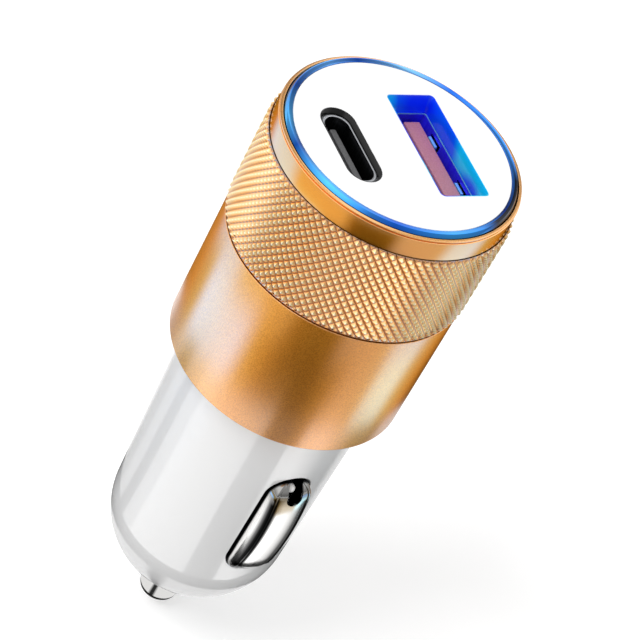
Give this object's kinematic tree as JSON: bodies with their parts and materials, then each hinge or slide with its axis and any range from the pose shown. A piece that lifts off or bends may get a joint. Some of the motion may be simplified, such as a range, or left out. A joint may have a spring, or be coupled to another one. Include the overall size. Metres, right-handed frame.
{
  "type": "car usb charger plug",
  "caption": "Plug for a vehicle's 12 V socket: knurled metal sleeve, plastic barrel with sprung contacts, and a round face with one USB-A and one USB-C port.",
  "frame": {"origin": "on the plug's axis, in the plane of the sleeve's lower shoulder, which stops against the rim of the vehicle's socket", "axes": "+Z along the plug from the nose to the face; +X from the USB-C port to the USB-A port; Y along the long sides of both ports, with the front side contact at -Y"},
  "size_m": [0.0258, 0.0258, 0.0711],
  "materials": {
    "sleeve": "gold anodised, bead-blasted below and knurled above",
    "bezel_ring": "polished blue anodised",
    "face_plate": "gloss white",
    "barrel": "gloss white",
    "usb_a_surround": "polished metallic blue",
    "usb_a_shell": "polished, blue tinted",
    "usb_a_tongue": "satin moulded",
    "gold_contacts": "gold plated",
    "usb_c_surround": "gloss black",
    "usb_c_shell": "drawn steel",
    "usb_c_tongue": "satin moulded",
    "black_plastic": "moulded",
    "plated_contacts": "nickel plated, polished",
    "spring_wire": "drawn spring steel",
    "brass": "stamped",
    "board": "green solder mask",
    "ferrite": "sintered",
    "capacitor_can": "printed sleeve, plain",
    "chip_resin": "moulded resin",
    "fuse_body": "glazed ceramic",
    "ceramic": "fired ceramic"
  },
  "bodies": {
    "housing": {"sleeve": "sleeve", "bezel_ring": "bezel_ring", "face_plate": "face_plate", "barrel": "barrel", "usb_a_surround": "usb_a_surround", "usb_a_shell": "usb_a_shell", "usb_a_tongue": "usb_a_tongue", "usb_a_contacts": "gold_contacts", "usb_c_surround": "usb_c_surround", "usb_c_shell": "usb_c_shell", "usb_c_tongue": "usb_c_tongue", "usb_c_contacts": "gold_contacts", "usb_c_base": "black_plastic", "tip_spring": "spring_wire", "centre_terminal": "brass", "contact_carrier": "black_plastic", "front_leaf": "spring_wire", "back_leaf": "spring_wire", "main_board": "board", "choke": "ferrite", "input_capacitor": "capacitor_can", "output_capacitor": "capacitor_can", "controller_chip": "chip_resin", "port_chip": "chip_resin", "rectifier_diode": "chip_resin", "fuse": "fuse_body", "chip_capacitors": "ceramic", "chip_resistors": "chip_resin"},
    "tip": {"tip_contact": "plated_contacts"},
    "front_side_contact": {"front_contact": "plated_contacts"},
    "back_side_contact": {"back_contact": "plated_contacts"}
  },
  "joints": [
    {"name": "tip_press", "type": "slide", "parent": "housing", "child": "tip", "axis": [0, 0, 1], "range_m": [0, 0.003], "stiffness_N_per_m": 1200, "springref_m": -0.002, "deforming": ["tip_spring"]},
    {"name": "front_contact_press", "type": "slide", "parent": "housing", "child": "front_side_contact", "axis": [0, 1, 0], "range_m": [0, 0.0017], "stiffness_N_per_m": 1500, "springref_m": -0.001, "deforming": ["front_leaf"]},
    {"name": "back_contact_press", "type": "slide", "parent": "housing", "child": "back_side_contact", "axis": [0, -1, 0], "range_m": [0, 0.0017], "stiffness_N_per_m": 1500, "springref_m": -0.001, "deforming": ["back_leaf"]}
  ]
}
